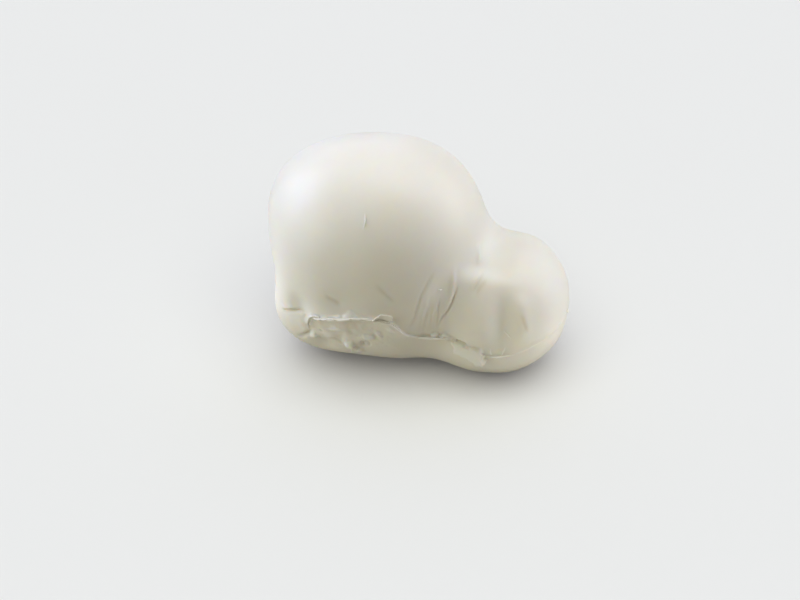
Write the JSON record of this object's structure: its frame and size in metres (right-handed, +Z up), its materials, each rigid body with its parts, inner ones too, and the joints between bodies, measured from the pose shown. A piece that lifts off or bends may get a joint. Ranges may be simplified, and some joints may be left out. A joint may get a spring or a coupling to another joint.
{
  "type": "scamorza cheese",
  "caption": "Smooth ivory pear-shaped stretched-curd cheese lying on its side, a round body and a small head, with a ragged mould seam all round.",
  "frame": {"origin": "on the floor, under the middle of the bounding box of the lying cheese", "axes": "+X from the round body to the small head, +Z up, -Y towards the side that shows the torn seam"},
  "size_m": [0.1184, 0.0881, 0.0851],
  "materials": {
    "cheese": "smooth moist satin curd"
  },
  "bodies": {
    "root": {"scamorza": "cheese"}
  },
  "joints": []
}
